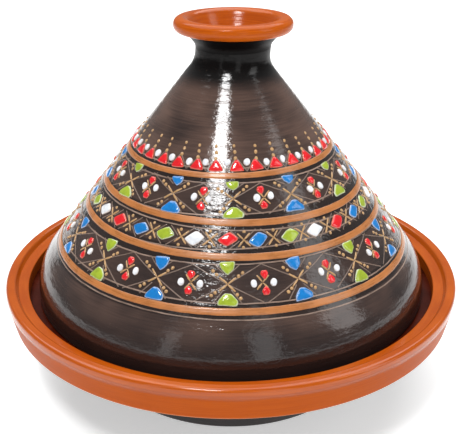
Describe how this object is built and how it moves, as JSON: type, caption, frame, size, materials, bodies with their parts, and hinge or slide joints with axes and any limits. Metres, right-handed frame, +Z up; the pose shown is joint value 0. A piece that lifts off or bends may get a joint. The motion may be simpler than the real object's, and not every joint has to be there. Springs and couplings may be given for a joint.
{
  "type": "tagine pot",
  "caption": "Round clay cooking pot: a shallow dish with a raised rim and foot, under a tall conical lid with a cup-shaped knob, decorated with enamelled bands.",
  "frame": {"origin": "centre of the foot ring's flat bottom, on the table", "axes": "+Z up along the axis of the dish and lid; the front of the decoration faces -Y"},
  "size_m": [0.305, 0.305, 0.2408],
  "materials": {
    "terracotta": "glossy clear glaze over orange terracotta",
    "dark_glaze": "glossy dark brown glaze with fine level streaks",
    "brown_glaze": "glossy dark red-brown glaze",
    "fired_clay": "matt fired clay",
    "ochre_slip": "satin ochre slip",
    "red_enamel": "thick glossy enamel",
    "white_enamel": "thick glossy enamel",
    "green_enamel": "thick glossy enamel",
    "blue_enamel": "thick glossy enamel"
  },
  "bodies": {
    "dish": {"dish_bowl": "dark_glaze", "bowl_glaze": "brown_glaze", "dish_rim": "terracotta", "foot_ring": "dark_glaze"},
    "lid": {"knob_cup": "terracotta", "lid_glaze_coat": "dark_glaze", "lid_cone": "fired_clay", "lower_band": "ochre_slip", "middle_band": "ochre_slip", "upper_band": "ochre_slip", "crown_band": "ochre_slip", "lower_crosses": "ochre_slip", "middle_crosses": "ochre_slip", "upper_crosses": "ochre_slip", "crown_triangles": "red_enamel", "crown_drops": "white_enamel", "lower_flower_petals": "red_enamel", "lower_flower_drops": "white_enamel", "lower_patches_green": "green_enamel", "lower_patches_blue": "blue_enamel", "upper_flower_petals": "red_enamel", "upper_flower_drops": "white_enamel", "upper_patches_green": "green_enamel", "upper_patches_blue": "blue_enamel", "middle_lozenges_red": "red_enamel", "middle_lozenges_blue": "blue_enamel", "middle_lozenges_green": "green_enamel", "middle_lozenges_white": "white_enamel"}
  },
  "joints": [
    {"name": "lid_lift", "type": "slide", "parent": "dish", "child": "lid", "axis": [0, 0, 1], "range_m": [0, 0.15]}
  ]
}
